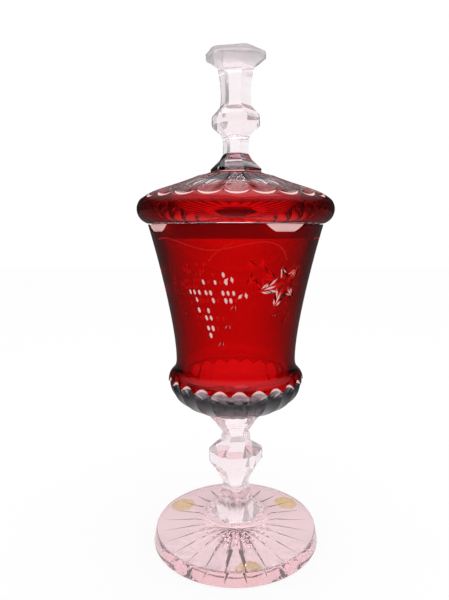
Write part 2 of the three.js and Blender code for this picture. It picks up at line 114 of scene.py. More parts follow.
def colour(name, description, hexadecimal):
    shade = {"default": linear(hexadecimal), "subtype": "COLOR", "size": 3, "min": 0, "max": 1}
    return FloatVectorProperty(name=name, description=description, **shade)


class GobletSizes(bpy.types.PropertyGroup):
    overlay: length("Ruby overlay", "Thickness of the ruby glass over the clear", 0.6)
    wall: length("Bowl wall", "Thickness of the bowl's wall, both glasses together", 6.2)
    panel_depth: length("Panel flutes", "Depth of the bowl's flutes, below their ridges", 1.4)
    petal_depth: length("Petal flutes", "Depth of the dome's flutes, below their ridges", 2.4)
    star_depth: length("Star grooves", "Depth of the star under the foot", 2.0)
    vine_depth: length("Vine", "Depth of the vine that winds round the bowl, within the ruby", 0.12)


class GobletColours(bpy.types.PropertyGroup):
    crystal: colour("Crystal", "Clear lead crystal", "#FCEFF3")
    crystal_depth: colour("Crystal in depth", "The light that passes solid crystal best", "#FCC6CB")
    # Painted shade: the dark of the room, painted into cut crystal where it slants and faces down
    painted_shade: colour("Painted shade", "What slanting cut crystal takes up from the room", "#16191E")
    ruby: colour("Ruby", "Ruby overlay glass, where it is thinnest", "#FC484A")
    ruby_depth: colour("Ruby in depth", "The light that passes deeper ruby best", "#F70359")
    pad: colour("Pad", "Aged stick-on pad", "#FFF0A4")
    floor: colour("Floor", "Pale floor", "#F2F2F2")


# Outlines, the same as the frame's


def bezier(points, steps):
    """Points along one Bezier curve through its control points, ends included."""
    out = []
    for i in range(steps + 1):
        t, row = i / steps, [Vector(p) for p in points]
        while len(row) > 1:
            row = [a.lerp(b, t) for a, b in zip(row, row[1:])]
        out.append(tuple(row[0]))
    return out


def swept(start, end, *handles, steps=CURVE_STEPS):
    """A curve between two points, with handles as shares of the way across and up."""
    (r0, z0), (r1, z1) = start, end
    inner = [(r0 + (r1 - r0) * across, z0 + (z1 - z0) * up) for across, up in handles]
    return bezier([start, *inner, end], steps)


def joined(*stretches):
    """Several stretches of outline end to end, without doubled points."""
    out = []
    for stretch in stretches:
        for p in stretch:
            if not out or math.dist(out[-1], p) > 1e-4:
                out.append(tuple(p))
    return out


def arc(centre, radius, start, end, steps):
    turns = [math.radians(start + (end - start) * i / steps) for i in range(steps + 1)]
    return [(centre[0] + radius * math.cos(a), centre[1] + radius * math.sin(a)) for a in turns]


BOWL_BASE_RADIUS = 21
BULGE_RADIUS, BULGE_HEIGHT = 50.3, 25.8
WAIST_RADIUS, WAIST_HEIGHT = 44.2, 41.9
LIP_RADIUS = 62.9
BOWL_FLOOR = 13


def bowl_wall(inset):
    """The bowl's wall from base to lip in three stretches, drawn in by a distance."""
    radii = (BOWL_BASE_RADIUS, BULGE_RADIUS, WAIST_RADIUS, LIP_RADIUS)
    base, bulge, waist, lip = (r - inset for r in radii)
    return (
        swept((base, 0), (bulge, BULGE_HEIGHT), (0.52, 0.2), (1, 0.45)),
        swept((bulge, BULGE_HEIGHT), (waist, WAIST_HEIGHT), (0, 0.54), (1, 0.34)),
        swept((waist, WAIST_HEIGHT), (lip, BOWL_HEIGHT), (0, 0.24), (0.63, 0.75)),
    )


def bowl_hollow(wall):
    _, shoulder, flare = bowl_wall(wall)
    floor = swept((0, BOWL_FLOOR), (BULGE_RADIUS - wall, BULGE_HEIGHT), (0.7, 0), (1, 0.4))
    return joined(floor, shoulder, flare)


def bowl_radius(height):
    """The bowl's radius at a height above its base, and how much it widens per millimetre."""
    wall = joined(*bowl_wall(0))
    for (r0, z0), (r1, z1) in zip(wall, wall[1:]):
        if z0 <= height <= z1:
            return r0 + (r1 - r0) * (height - z0) / (z1 - z0), (r1 - r0) / (z1 - z0)
    raise ValueError(f"no wall at {height}")


# Meshes


def read(items, field, kind=int, width=1):
    """What a mesh says of each of its items."""
    values = np.zeros(len(items) * width, kind)
    items.foreach_get(field, values)
    return values


def piece(name, vertices, faces, level=0):
    """A mesh object from millimetres, its origin on the goblet's axis at the table."""
    mesh = bpy.data.meshes.new(name)
    mesh.from_pydata([(x * MM, y * MM, (z + level) * MM) for x, y, z in vertices], [], faces)
    mesh.validate()
    made = bpy.data.objects.new(name, mesh)
    bpy.context.scene.collection.objects.link(made)
    return made


def around(radius, turn, height):
    """A point at so many degrees round from the front, to the right."""
    a = math.radians(turn)
    return (radius * math.sin(a), -radius * math.cos(a), height)


def skin(rows, loop=False):
    """Vertices and faces over rows of points, where each row is a ring or a single point."""
    sides = max(map(len, rows))
    vertices, numbers = [], []
    for row in rows:
        numbers.append([len(vertices) + k % len(row) for k in range(sides)])
        vertices.extend(row)
    faces = []
    for below, above in zip(numbers, numbers[1:] + numbers[:1] * loop):
        for k in range(sides):
            n = (k + 1) % sides
            ring = list(dict.fromkeys((below[k], below[n], above[n], above[k])))
            if len(ring) > 2:
                faces.append(ring)
    return vertices, faces


def turned(name, profile, sides=ROUND_SIDES, turn=0.0, level=0, loop=False, shift=None):
    """A profile of (radius, height) points turned about the axis.

    shift(point number, radius, height, share round) may move a corner, for flutes.
    """
    rows = []
    for i, (r, z) in enumerate(profile):
        rows.append([])
        for k in range(sides if r > 1e-6 else 1):
            rr, zz = shift(i, r, z, k / sides) if shift and r > 1e-6 else (r, z)
            rows[-1].append(around(rr, turn + 360 * k / sides, zz))
    return piece(name, *skin(rows, loop), level)


def round_flute(row, across):
    """How far a round-bottomed flute has sunk, where across is -1 and 1 on its ridges."""
    return 1 - across**2


def fluted(name, ridge, flute, count, turn, level, sunk=round_flute):
    """A turned tool whose outline swings from ridge to flute and back, count times round.

    sunk(row, across) says how far one row of the outline has swung.
    """

    def shift(row, r, z, share):
        there = sunk(row, 2 * (share * count % 1) - 1)
        (r0, z0), (r1, z1) = ridge[row], flute[row]
        return r0 + (r1 - r0) * there, z0 + (z1 - z0) * there

    return turned(name, ridge, count * FLUTE_STEPS, turn - 180 / count, level, shift=shift)


def marked(made, *marks):
    """Gives the faces their marks, each to an equal share of them."""
    for _ in (BASE, POLISHED, GROUND, FACET):
        made.data.materials.append(None)
    share = len(made.data.polygons) // len(marks)
    made.data.polygons.foreach_set("material_index", [m for m in marks for _ in range(share)])
    return made


def carve(target, tool, operation="DIFFERENCE", mark=POLISHED):
    """Cuts the tool from the target, or keeps what they share, and marks the faces it leaves."""
    if not target.data.materials:
        marked(target, BASE)
    if not tool.data.materials:
        marked(tool, mark)
    step = target.modifiers.new("carve", "BOOLEAN")
    step.object = tool
    step.operation = operation
    step.solver = "MANIFOLD"
    step.material_mode = "INDEX"
    bpy.context.view_layer.update()
    ready = target.evaluated_get(bpy.context.evaluated_depsgraph_get())
    result = bpy.data.meshes.new_from_object(ready)
    target.modifiers.remove(step)
    old, target.data = target.data, result
    bpy.data.meshes.remove(old)
    bpy.data.objects.remove(tool)
    if not result.polygons:
        raise RuntimeError(f"nothing is left of {target.name}")
    return target


def assembled(name, parts):
    """One tool of (vertices, faces) parts that don't meet, placed from the bowl's base."""
    vertices, faces = [], []
    for part_vertices, part_faces in parts:
        start = len(vertices)
        vertices.extend(part_vertices)
        faces.extend([[start + i for i in f] for f in part_faces])
    return piece(name, vertices, faces, BOWL_LEVEL)


def on_wall(turn, height, sunk=0.0, spin=0.0):
    """Places a tool on the bowl: X to the right, Y up the wall and Z out of it."""
    radius, slope = bowl_radius(height)
    a = math.radians(turn)
    right = Vector((math.cos(a), math.sin(a), 0))
    outward = Vector((math.sin(a), -math.cos(a), 0))
    lean = math.atan(slope)
    up = outward * math.sin(lean) + Vector((0, 0, 1)) * math.cos(lean)
    out = right.cross(up)
    place = Matrix((right, up, out)).transposed().to_4x4()
    place.translation = Vector(around(radius, turn, height)) - out * sunk
    return place @ Matrix.Rotation(math.radians(spin), 4, "Z")


def bead(place, size, power=0.5, rings=12, sides=12):
    """A tool of three half sizes: a power of 0.5 makes it oval, and 1 pointed at its ends."""
    turns = [2 * math.pi * k / sides for k in range(sides)]
    rows = [[(-1, 0, 0)]]
    for i in range(1, rings):
        x = -math.cos(math.pi * i / rings)
        girth = (1 - x * x) ** power
        rows.append([(x, girth * math.cos(b), girth * math.sin(b)) for b in turns])
    vertices, faces = skin([*rows, [(1, 0, 0)]])
    shape = place @ Matrix.Diagonal((*size, 1))
    return [tuple(shape @ Vector(v)) for v in vertices], faces


def mitre(place, half_length, half_width, depth):
    """A tool for one V-shaped stroke, pointed at both ends."""
    ring = [(-half_length, 0, 0), (0, -half_width, 0), (half_length, 0, 0), (0, half_width, 0)]
    vertices, faces = skin([[(0, 0, -depth)], ring, [(0, 0, depth)]])
    return [tuple(place @ Vector(v)) for v in vertices], faces


# Smoothness of glass

LEAST_AGREEMENT = 0.3  # of a face with the outline's normals, for it to take them


def outline_normals(profile, loop=False):
    """For each stretch of an outline, its ends and the outward normals at both."""
    points = np.array(profile, float)
    if loop:
        points = np.vstack([points, points[:1]])
    along = np.diff(points, axis=0)
    along /= np.linalg.norm(along, axis=1)[:, None]
    flat = np.stack([along[:, 1], -along[:, 0]], axis=1)
    first, last = flat.copy(), flat.copy()
    limit = math.cos(math.radians(SHARP))
    count = len(flat)
    for i in range(count if loop else count - 1):
        n = (i + 1) % count
        if flat[i] @ flat[n] > limit:
            shared = flat[i] + flat[n]
            shared /= np.linalg.norm(shared)
            last[i], first[n] = shared, shared
    return points[:-1], points[1:], first, last


def crisp_edges(mesh, kind):
    """Keeps an edge sharp where faces with different marks meet."""
    kinds_at = [set() for _ in mesh.edges]
    for face in mesh.polygons:
        for number in face.loop_indices:
            kinds_at[mesh.loops[number].edge_index].add(int(kind[face.index]))
    known = mesh.attributes.get("sharp_edge")
    sharp = known or mesh.attributes.new("sharp_edge", "BOOLEAN", "EDGE")
    mixed = np.array([len(kinds) > 1 for kinds in kinds_at])
    sharp.data.foreach_set("value", read(sharp.data, "value", bool) | mixed)


def polish(made, profile=None, level=0, loop=False):
    """Smooth glass: turned faces get the outline's own normals, and cut edges stay crisp."""
    mesh = made.data
    mesh.shade_smooth()
    mesh.set_sharp_from_angle(angle=math.radians(SHARP))
    if profile is None:
        return made
    kind = read(mesh.polygons, "material_index")
    crisp_edges(mesh, kind)
    low_end, high_end, first, last = outline_normals(profile, loop)
    corners = read(mesh.loops, "vertex_index")
    where = read(mesh.vertices, "co", float, 3).reshape(-1, 3) / MM
    radius = np.hypot(where[:, 0], where[:, 1])
    height = where[:, 2] - level
    normals = np.zeros((len(mesh.loops), 3))
    stretch = high_end - low_end
    span = (stretch**2).sum(1)
    for face in mesh.polygons:
        if kind[face.index] != BASE:
            continue
        loops = list(face.loop_indices)
        points = corners[loops]
        middle = np.array([radius[points].mean(), height[points].mean()])
        share = np.clip(((middle - low_end) * stretch).sum(1) / span, 0, 1)
        off = np.linalg.norm(low_end + stretch * share[:, None] - middle, axis=1)
        best = int(off.argmin())
        near = slice(max(best - 1, 0), best + 2)
        own = best - near.start
        for number, point in zip(loops, points):
            if radius[point] < SAME:
                normals[number] = face.normal
                continue
            spot = np.array([radius[point], height[point]])
            part = np.clip(((spot - low_end[near]) * stretch[near]).sum(1) / span[near], 0, 1)
            away = np.linalg.norm(low_end[near] + stretch[near] * part[:, None] - spot, axis=1)
            pick = own if away[own] < away.min() + SAME else int(away.argmin())
            flat = first[near][pick] * (1 - part[pick]) + last[near][pick] * part[pick]
            x, y = where[point, 0] / radius[point], where[point, 1] / radius[point]
            normals[number] = (flat[0] * x, flat[0] * y, flat[1])
        if normals[loops].mean(0) @ np.array(face.normal) < LEAST_AGREEMENT:
            normals[loops] = face.normal
    mesh.normals_split_custom_set(normals.tolist())
    return made


# Finishes

POLISHED_GLASS = {"Roughness": 0.0, "IOR": 1.54, "Transmission Weight": 1.0}  # as lead crystal
POLISH_WAVE, RUBY_WAVE, WAVE_HEIGHT = 9, 12, 0.012  # millimetres across and high
GRIT, GRIT_HEIGHT = 0.8, 0.05  # the real grit is finer, and is drawn as coarse as it has to be
GROUND_ROUGHNESS = 0.4
# The ruby's edge colour and how fast it comes are painted shade: darker towards the sides, for the
# longer way through the ruby and the dark room there
RUBY_DENSITY, RUBY_EDGE_SHADE, RUBY_EDGE_SHADE_RATE = 5000.0, "#6E2230", 1.3
RUBY_SHEEN, GROUND_RUBY_SHEEN = (1.0, 0.4, 0.45), (1.0, 0.1, 0.1)
# Shares of painted shade, the dark of the room painted into cut crystal's colour: face on,
# slanting, facing up and from within
SHADE_FACE_ON, SHADE_SLANTING, SHADE_FACING_UP, SHADE_WITHIN = 0.5, 1.2, -0.9, -3.0
PAD_PATCH = 20 / 7  # millimetres across a patch of colour in the aged rubber
PAD_DEEPER, PAD_PALER, PAD_BLOOM = 0.85, 1.35, 0.04


def node(tree, kind, settings=None, links=None):
    """Adds a node of a kind, sets its sockets, fields or colour stops, and links its inputs.

    An input is linked to an output, or to the first output of a node.
    """
    made = tree.nodes.new("ShaderNode" + kind)
    for key, value in (settings or {}).items():
        if key == "stops":
            for stop, (position, tint) in zip(made.color_ramp.elements, value):
                stop.position, stop.color = position, (*tint, 1)
        elif isinstance(key, int) or key in made.inputs:
            made.inputs[key].default_value = value
        else:
            setattr(made, key, value)
    for key, source in (links or {}).items():
        output = source.outputs[0] if isinstance(source, bpy.types.Node) else source
        tree.links.new(output, made.inputs[key])
    return made


def made_of(finish):
    """The material of a finish, which adds its nodes to a tree and gives what its output links."""
    material = bpy.data.materials.get(finish.__name__)
    if not material:
        material = bpy.data.materials.new(finish.__name__)
        material.use_nodes = True
        material.node_tree.nodes.clear()
        node(material.node_tree, "OutputMaterial", None, finish(material.node_tree))
    return material


def hand_finish(tree, across_mm, height_mm=WAVE_HEIGHT):
    """Faint unevenness that cutting and acid polishing leave."""
    place = node(tree, "TexCoord")
    noise = node(
        tree,
        "TexNoise",
        {"Scale": 1 / (across_mm * MM), "Detail": 1.0, "Roughness": 0.4},
        {"Vector": place.outputs["Object"]},
    )
    bump = {"Strength": 1.0, "Distance": height_mm * MM}
    return node(tree, "Bump", bump, {"Height": noise})


def crystal_glass(tree):
    """Lead crystal, wheel cut and acid polished: clear, bright at its edges, faintly pink."""
    glass = node(
        tree,
        "BsdfPrincipled",
        {**POLISHED_GLASS, "Base Color": (*bpy.context.scene.goblet_colours.crystal, 1)},
        {"Normal": hand_finish(tree, POLISH_WAVE)},
    )
    return {"Surface": glass}


def solid_crystal(tree, hexadecimal, density, through):
    """Lead crystal worked in the solid and polished: pinker where it is thick.

    A share of the light that it would mirror within goes through instead.
    """
    outside = node(
        tree,
        "BsdfPrincipled",
        {**POLISHED_GLASS, "Base Color": (*linear(hexadecimal), 1)},
        {"Normal": hand_finish(tree, POLISH_WAVE)},
    )
    within = node(tree, "BsdfTransparent")
    side = node(tree, "NewGeometry").outputs["Backfacing"]
    share = node(tree, "Math", {"operation": "MULTIPLY", 1: through}, {0: side})
    mix = node(tree, "MixShader", None, {"Fac": share, 1: outside, 2: within})
    depth = {"Color": (*bpy.context.scene.goblet_colours.crystal_depth, 1), "Density": density}
    return {"Surface": mix, "Volume": node(tree, "VolumeAbsorption", depth)}


def foot_crystal(tree):
    """The crystal of the foot: crisp star cuts, and a painted pink light from the ruby above."""
    # FADFE2 is painted light: the ruby's pink glow on the foot, pinker than the crystal elsewhere
    return solid_crystal(tree, "#FADFE2", density=5.0, through=0.05)


def stem_crystal(tree):
    """The crystal of the stem and finial: bright all through in the white room."""
    return solid_crystal(tree, "#FFFDFE", density=8.0, through=0.35)


def ruby_glass(tree):
    """Ruby glass fused over crystal: clear red face on, and with painted shade nearly black on
    edge, for the longer way through the thin ruby and the dark room at the sides.

    Where the wheel stopped inside it, it is matt and thinner, and glows lighter than the rest.
    """
    colours = bpy.context.scene.goblet_colours
    level = node(
        tree,
        "VectorMath",
        {"operation": "MULTIPLY", 1: (1.0, 1.0, 0.0)},
        {0: node(tree, "NewGeometry").outputs["Normal"]},
    )
    level = node(tree, "VectorMath", {"operation": "NORMALIZE"}, {0: level})
    # Painted shade: the ruby turns to its dark edge colour as its face turns away round the axis
    edge = node(tree, "LayerWeight", {"Blend": 0.5}, {"Normal": level})
    darker = {"operation": "MULTIPLY", 1: RUBY_EDGE_SHADE_RATE}
    tint = node(
        tree,
        "Mix",
        {"data_type": "RGBA", 6: (*colours.ruby, 1), 7: (*linear(RUBY_EDGE_SHADE), 1)},
        {0: node(tree, "Math", darker, {0: edge.outputs["Facing"]})},
    )
    clear = node(
        tree,
        "BsdfPrincipled",
        {**POLISHED_GLASS, "Specular Tint": (*RUBY_SHEEN, 1)},
        {"Normal": hand_finish(tree, RUBY_WAVE), "Base Color": tint.outputs[2]},
    )
    matt = ground_surface(tree, "#F82C22", bloom=0.16, sheen=GROUND_RUBY_SHEEN)
    ground = node(tree, "Attribute", {"attribute_name": "ground"}).outputs["Fac"]
    mix = node(tree, "MixShader", None, {"Fac": ground, 1: clear, 2: matt})
    depth = {"Color": (*colours.ruby_depth, 1), "Density": RUBY_DENSITY}
    return {"Surface": mix, "Volume": node(tree, "VolumeAbsorption", depth)}


def cut_crystal(tree):
    """Crystal cut into flutes and polished, with painted shade from outside: darker where it slants
    and faces down.
    """
    colours = bpy.context.scene.goblet_colours
    edge = node(tree, "LayerWeight", {"Blend": 0.5})
    surface = node(tree, "NewGeometry")
    upward = node(tree, "SeparateXYZ", None, {"Vector": surface.outputs["Normal"]})
    # Painted shade: more where the crystal slants and faces down, none from within
    painted_shade = node(
        tree,
        "Math",
        {"operation": "MULTIPLY_ADD", 1: SHADE_SLANTING, 2: SHADE_FACE_ON},
        {0: edge.outputs["Facing"]},
    )
    for factor, value, clamped in (
        (SHADE_FACING_UP, upward.outputs["Z"], False),
        (SHADE_WITHIN, surface.outputs["Backfacing"], True),
    ):
        painted_shade = node(
            tree,
            "Math",
            {"operation": "MULTIPLY_ADD", "use_clamp": clamped, 1: factor},
            {0: value, 2: painted_shade},
        )
    tint = node(
        tree,
        "Mix",
        {"data_type": "RGBA", 6: (*colours.crystal, 1), 7: (*colours.painted_shade, 1)},
        {0: painted_shade},
    )
    glass = node(
        tree,
        "BsdfPrincipled",
        POLISHED_GLASS,
        {"Normal": hand_finish(tree, POLISH_WAVE), "Base Color": tint.outputs[2]},
    )
    return {"Surface": glass}


def ground_surface(tree, hexadecimal, bloom, sheen=(1.0, 1.0, 1.0)):
    """Glass left as the wheel ground it: a share of bloom outside, and a glow of it from within."""
    tint = (*linear(hexadecimal), 1)
    outside = node(
        tree,
        "BsdfPrincipled",
        {
            **POLISHED_GLASS,
            "Base Color": tint,
            "Roughness": GROUND_ROUGHNESS,
            "Transmission Weight": 1 - bloom,
            "Specular Tint": (*sheen, 1),
        },
        {"Normal": hand_finish(tree, GRIT, GRIT_HEIGHT)},
    )
    within = node(tree, "BsdfTransparent", {"Color": tint})
    side = node(tree, "NewGeometry").outputs["Backfacing"]
    return node(tree, "MixShader", None, {"Fac": side, 1: outside, 2: within})


def ground_crystal(tree):
    """Crystal, wheel ground and not polished: nearly white."""
    return {"Surface": ground_surface(tree, "#FFE2DE", bloom=0.9)}


def facet_crystal(tree):
    """Broader flats of unpolished crystal, in painted pink light from the ruby round them."""
    # FFCBC8 is painted light: the ruby's pink glow on the flats, pinker than the ground crystal
    return {"Surface": ground_surface(tree, "#FFCBC8", bloom=0.9)}


def pad_rubber(tree):
    """Soft clear rubber gone amber: dull, and a little uneven in colour where it has aged."""
    pad = bpy.context.scene.goblet_colours.pad
    place = node(tree, "TexCoord")
    noise = node(
        tree,
        "TexNoise",
        {"Scale": 1 / (PAD_PATCH * MM), "Detail": 3.0},
        {"Vector": place.outputs["Object"]},
    )
    deep = [c * PAD_DEEPER for c in pad]
    pale = [min(1, c * PAD_PALER + PAD_BLOOM) for c in pad]
    tint = node(tree, "ValToRGB", {"stops": ((0.35, deep), (0.7, pale))}, {"Fac": noise})
    bump = node(tree, "Bump", {"Strength": 0.4, "Distance": 0.2 * MM}, {"Height": noise})
    rubber = node(
        tree,
        "BsdfPrincipled",
        {"Roughness": 0.4, "IOR": 1.5, "Transmission Weight": 0.95},
        {"Base Color": tint, "Normal": bump},
    )
    return {"Surface": rubber}


CRYSTAL_CUTS = ((POLISHED, cut_crystal), (GROUND, ground_crystal), (FACET, facet_crystal))


def dress(made, finish, body, slot, *nodes, cuts=()):
    """Gives a piece its finish, others where it has (mark, finish) cuts, and its place."""
    kinds = read(made.data.polygons, "material_index")
    ground = made.data.attributes.new("ground", "FLOAT", "FACE")
    ground.data.foreach_set("value", (kinds == GROUND).astype(float))
    made.data.materials.clear()
    slots = np.zeros(len(kinds), int)
    for i, (mark, own_finish) in enumerate(((BASE, finish), *cuts)):
        slots[kinds == mark] = i
        made.data.materials.append(made_of(own_finish))
    made.data.polygons.foreach_set("material_index", slots)
    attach(made, body)
    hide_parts(*nodes)
    return made


# Pads and foot

PAD_RADIUS, PAD_THICKNESS, PAD_EDGE, PAD_CIRCLE = 9.5, 0.6, 0.15, 52.5
PAD_SIDES = 48
PAD_TURNS = (10, 128, 236)
FOOT_RADIUS, FOOT_RIM, FOOT_TAPER, FOOT_ROUND = 63.4, 10.3, 1.9, 0.9
FOOT_SEAT_RADIUS = 21.5
STAR_RAYS, STAR_INNER, STAR_OUTER, STAR_WIDTH = 24, 4, 58, 4.8


class GOBLET_OT_pads(bpy.types.Operator):
    """Three stick-on pads under the foot"""

    bl_idname = "goblet.pads"
    bl_label = "Pads"

    def execute(self, context):
        flat = PAD_RADIUS - PAD_EDGE
        profile = [
            (0, 0),
            (flat, 0),
            *arc((flat, PAD_EDGE), PAD_EDGE, -90, 0, 3)[1:],
            *arc((flat, PAD_THICKNESS - PAD_EDGE), PAD_EDGE, 0, 90, 3),
            (0, PAD_THICKNESS),
        ]
        for i, turn in enumerate(PAD_TURNS):
            pad = turned(f"pad_{i + 1}", profile, PAD_SIDES)
            centre = Vector(around(PAD_CIRCLE, turn, 0)) * MM
            pad.data.transform(Matrix.Translation(centre))
            polish(pad)
            dress(pad, pad_rubber, "goblet", "pad", f"foot_pad_{i + 1}")
        return {"FINISHED"}


def foot_profile():
    top = high("foot") - FOOT_LEVEL
    shoulder = FOOT_RADIUS - FOOT_TAPER - FOOT_ROUND
    crown = [
        (shoulder, FOOT_RIM),
        (FOOT_SEAT_RADIUS * 1.9, FOOT_RIM + 2),
        (FOOT_SEAT_RADIUS * 1.3, FOOT_RIM + 3),
        (FOOT_SEAT_RADIUS, top),
    ]
    return joined(
        [(0, 0)],
        arc((FOOT_RADIUS - FOOT_ROUND, FOOT_ROUND), FOOT_ROUND, -90, 0, 5),
        arc((shoulder, FOOT_RIM - FOOT_ROUND), FOOT_ROUND, 0, 90, 5),
        bezier(crown, steps=24),
        [(0, top)],
    )


class GOBLET_OT_foot(bpy.types.Operator):
    """The foot, a thick disc with a star cut into its underside"""

    bl_idname = "goblet.foot"
    bl_label = "Foot"

    def execute(self, context):
        sizes = context.scene.goblet_sizes
        profile = foot_profile()
        foot = turned("foot_disc", profile, level=FOOT_LEVEL)
        rays = []
        half = (STAR_OUTER - STAR_INNER) / 2
        for i in range(STAR_RAYS):
            turn = 360 / STAR_RAYS * (i + 0.5)
            place = Matrix.Translation(around(STAR_INNER + half, turn, FOOT_LEVEL - BOWL_LEVEL))
            place = place @ Matrix.Rotation(math.radians(turn - 90), 4, "Z")
            rays.append(mitre(place, half, STAR_WIDTH / 2, sizes.star_depth / MM))
        carve(foot, assembled("star", rays))
        polish(foot, profile, FOOT_LEVEL)
        dress(foot, foot_crystal, "goblet", "crystal", "foot")
        return {"FINISHED"}


# Stem

STEM_TURN = 8
KNOP_OVERSIZE = 1.05  # the six-sided slopes meet the band just past its corners
KNOP_RADIUS, STEM_TOP_RADIUS = 21, 15
KNOP_SLOPE = KNOP_RADIUS * KNOP_OVERSIZE

# Outlines, as the radius and height of their corners
STEM_SKIRT = ((20.5, 0), (13.5, 14 / 3), (12.9, 14))
STEM_NECK = ((12.9, 14), (10, 14 + 11 / 3), (10, 25))
STEM_KNOP = ((12.6, 29.5), (16, 36), (KNOP_SLOPE, 44), (KNOP_SLOPE, 51))
STEM_RING = ((11.3, 56.8), (11.3, 62), (10, 65))
STEM_BAND = ((0, -PAST), (25, -PAST), (25, 14), (KNOP_RADIUS, 29.5), (KNOP_RADIUS, 77), (0, 77))
COLLAR_FLARE = ((STEM_TOP_RADIUS, 0), (19.2, 4.1))
COLLAR_TOP_RADIUS = 20.6


def six_sided(name, profile, turn, level, band=()):
    """A polished six-sided body, with twelve sides where a band trims it."""
    made = turned(name, profile, 6, turn + 30, level)
    if band:
        carve(made, turned(f"{name}_band", band, 12, turn + 15, level), "INTERSECT")
    return polish(made)


class GOBLET_OT_stem(bpy.types.Operator):
    """The six-sided stem with its knop, and the collar over it"""

    bl_idname = "goblet.stem"
    bl_label = "Stem"

    def execute(self, context):
        top = high("stem") - STEM_LEVEL
        skirt, neck = bezier(STEM_SKIRT, steps=10), bezier(STEM_NECK, steps=10)
        end = [(STEM_TOP_RADIUS, top), (0, top)]
        profile = joined([(0, 0)], skirt, neck, STEM_KNOP, STEM_RING, end)
        stem = six_sided("stem_shaft", profile, STEM_TURN, STEM_LEVEL, STEM_BAND)
        dress(stem, stem_crystal, "goblet", "crystal", "stem")
        top = high("stem_collar") - STEM_COLLAR_LEVEL
        profile = [(0, 0), *COLLAR_FLARE, (COLLAR_TOP_RADIUS, top), (0, top)]
        collar = six_sided("collar", profile, STEM_TURN, STEM_COLLAR_LEVEL)
        dress(collar, stem_crystal, "goblet", "crystal", "stem_collar")
        return {"FINISHED"}


# Bowl

PANELS, PANEL_TURN = 24, 3
PANEL_TOP, PANEL_RUN_OUT, PANEL_CLEAR = 30.6, 3, 0.3
PANEL_RIDGE_TOP, PANEL_RIDGE_RUN_OUT, PANEL_RIDGE_DEPTH = 26, 0.6, 1
PANEL_ARCH = 0.9  # width of a panel's rounded top, as a share of the panel
WINDOWS, WINDOW_TURN, WINDOW_BOTTOM, WINDOW_DEPTH = 4, 31, 4.9, 1.0
MOTIFS, BUNCH_TURN = 3, -17.5
BUNCH_TOP, BUNCH_ROWS, CLUSTER_PITCH, CLUSTER_ROW_PITCH = 105.2, (2, 3, 2, 1), 11.8, 12
GRAPE_PITCH, GRAPE_ROW_PITCH, GRAPE_STAGGER, GRAPE_LEAN = 3.5, 5.0, 0.4, 12
GRAPE_WHEEL, GRAPE_STRETCH = 2.0, 1.75
GRAPE_DEPTHS, GRAPE_HALF_WIDTHS = (0.45, 1.1, 1.2, 1.3), (1.3, 1.45)
GRAPE_STRAY, GRAPES_LEFT_OUT = 0.2, 0.22  # how far one strays sideways, and the share left out
# Pairs of pointed strokes beside the bunch: where they are, how each of a pair leans and is
# lifted, how far leaning moves it aside, and its three half sizes
LEAFLETS = (((13, 104), (21.5, 93.5)), ((-38, 0), (14, 0.5)), 0.075, (3.4, 1.6, 1.7))
TENDRILS = (
    ((-24, 93), (-20, 80), (15, 86), (10.5, 73), (5.5, 61), (43, 80), (49, 76)),
    ((-32, 0), (3, 0)),
    0.07,
    (3.2, 0.5, 1.3),
)
LEAF_TURN, LEAF_HEIGHT = 55, 101.5
# How far a lobe leans, where it starts, how long it is, and how wide its strokes are
LEAF_LOBES = (
    (104, 2.5, 18, 2.2),
    (22, 2.5, 10, 1.7),
    (312, 2.5, 13, 1.3),
    (160, 2.5, 16, 2.2),
    (222, 3, 12, 1.8),
)
LOBE_WIDTH, LOBE_DEPTH = 1.35, 0.42  # half width as a share of the strokes', and millimetres
LEAF_SLANT, STROKE_DEPTH = 28, 1.7  # degrees off a lobe's middle, and millimetres
STROKE_LENGTH, STROKE_TAPER = 0.38, 0.25  # a side stroke's half length, as a share of the lobe's
# The strokes of each pass over a leaf: which side of its lobe, and how far along
LEAF_PASSES = (((-1, 0.02), (-1, 0.5), (1, 0.26)), ((1, 0.02), (1, 0.5), (-1, 0.26)), ((0, 0),))
VINE_RADIUS = 1.8  # of the wheel that cuts the vine
VINE_STEPS, VINE_SIDES = 28, 10
VINE_START, VINE_RUN_OUT = 0.05, 5  # share of its depth at its ends, and steps to all of it
# Degrees round from the bunch, and heights
VINES = (
    (
        [(-48, 127), (-30, 137), (-14, 124), (1, 123.5)],
        [(1, 123.5), (22, 123), (50, 144), (56.5, 104)],
    ),
    ([(-2, 114), (3, 121), (8, 125), (20, 130)],),
)


def panel_outline(depth, stop, top):
    """The outline that the panels leave, sunk to a depth up to stop and run out at top."""
    bottom, _, _ = bowl_wall(depth)
    clear = LIP_RADIUS + 2 * PAST
    return [
        (0, -PAST),
        (bottom[0][0], -PAST),
        *bottom[:-1],
        (bowl_radius(stop)[0] - depth, stop),
        (bowl_radius(top)[0] + PANEL_CLEAR, top),
        (clear, top + PAST),
        (clear, BOWL_HEIGHT + PAST),
        (0, BOWL_HEIGHT + PAST),
    ]


